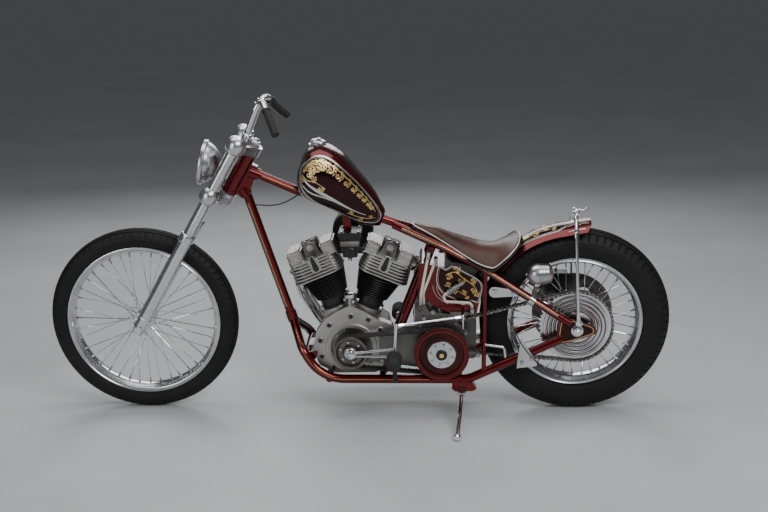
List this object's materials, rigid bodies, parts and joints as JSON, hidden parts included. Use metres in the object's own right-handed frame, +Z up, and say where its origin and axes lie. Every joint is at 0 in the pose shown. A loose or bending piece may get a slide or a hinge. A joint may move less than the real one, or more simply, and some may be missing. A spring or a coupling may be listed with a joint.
{
  "type": "chopper motorcycle",
  "caption": "Hardtail chopper with an open air-cooled V-twin, raked telescopic fork and wire wheels, parked leaning on its side stand.",
  "frame": {"origin": "centre of the bounding box on the floor, with the bike leaning on its side stand", "axes": "+X forward, +Y to the rider's left, +Z up"},
  "size_m": [2.2469, 0.6646, 1.1711],
  "materials": {
    "candy_red": "candy gloss",
    "cast_alloy": "as cast",
    "polished_alloy": "polished",
    "chrome": "mirror",
    "black_iron": "black enamel",
    "chain_steel": "oiled",
    "tyre_rubber": "satin",
    "rubber": "matt",
    "hose_cream": "braided sleeve",
    "brown_leather": "worn",
    "lamp_glass": "clear"
  },
  "bodies": {
    "frame": {"frame_backbone": "candy_red", "frame_cradle": "candy_red", "frame_stays": "candy_red", "frame_posts": "candy_red", "stand_bracket": "candy_red", "crankcase": "cast_alloy", "cylinders": "black_iron", "cylinder_heads": "cast_alloy", "valve_gear": "chrome", "pushrod_tubes": "chrome", "intake": "black_iron", "air_cleaner": "chrome", "exhaust_pipes": "chrome", "front_pulley": "polished_alloy", "drive_belt": "rubber", "clutch_basket": "black_iron", "clutch_cover": "candy_red", "clutch_hub": "polished_alloy", "gearbox": "cast_alloy", "final_chain": "chain_steel", "fuel_tank": "candy_red", "fuel_cap": "polished_alloy", "oil_tank": "candy_red", "seat": "brown_leather", "rear_fender": "candy_red", "fender_struts": "chrome", "tail_lamp": "chrome", "chain_guard": "polished_alloy", "brake_caliper": "cast_alloy", "foot_controls": "black_iron", "foot_pegs": "rubber", "shift_rod": "chrome", "rear_axle": "chrome", "oil_lines": "hose_cream", "oil_fittings": "chrome", "neck_cable": "rubber"},
    "fork": {"fork_tubes": "chrome", "fork_legs": "polished_alloy", "lower_tree": "polished_alloy", "upper_tree": "polished_alloy", "handlebar": "chrome", "grips": "rubber", "front_axle": "chrome", "headlamp": "chrome", "headlamp_lens": "lamp_glass"},
    "front_wheel": {"front_tyre": "tyre_rubber", "front_rim": "polished_alloy", "front_spokes": "chrome", "front_hub": "polished_alloy"},
    "rear_wheel": {"rear_tyre": "tyre_rubber", "rear_rim": "polished_alloy", "rear_spokes": "chrome", "rear_hub": "polished_alloy", "rear_sprocket": "polished_alloy", "brake_disc": "black_iron"},
    "side_stand": {"side_stand": "chrome"}
  },
  "joints": [
    {"name": "steering", "type": "hinge", "parent": "frame", "child": "fork", "pos_m": [0.4062, 0.02242, 0.88734], "axis": [-0.5, 0.0755, 0.8627], "range_deg": [-30, 30]},
    {"name": "front_wheel_spin", "type": "hinge", "parent": "fork", "child": "front_wheel", "pos_m": [0.7795, -0.02522, 0.34284], "axis": [0, 0.9962, -0.0872], "continuous": true},
    {"name": "rear_wheel_spin", "type": "hinge", "parent": "frame", "child": "rear_wheel", "pos_m": [-0.7825, -0.02547, 0.33993], "axis": [0, 0.9962, -0.0872], "continuous": true},
    {"name": "side_stand_fold", "type": "hinge", "parent": "frame", "child": "side_stand", "pos_m": [-0.3775, 0.08455, 0.09441], "axis": [0, 0.3276, 0.9448], "range_deg": [0, 90]}
  ]
}
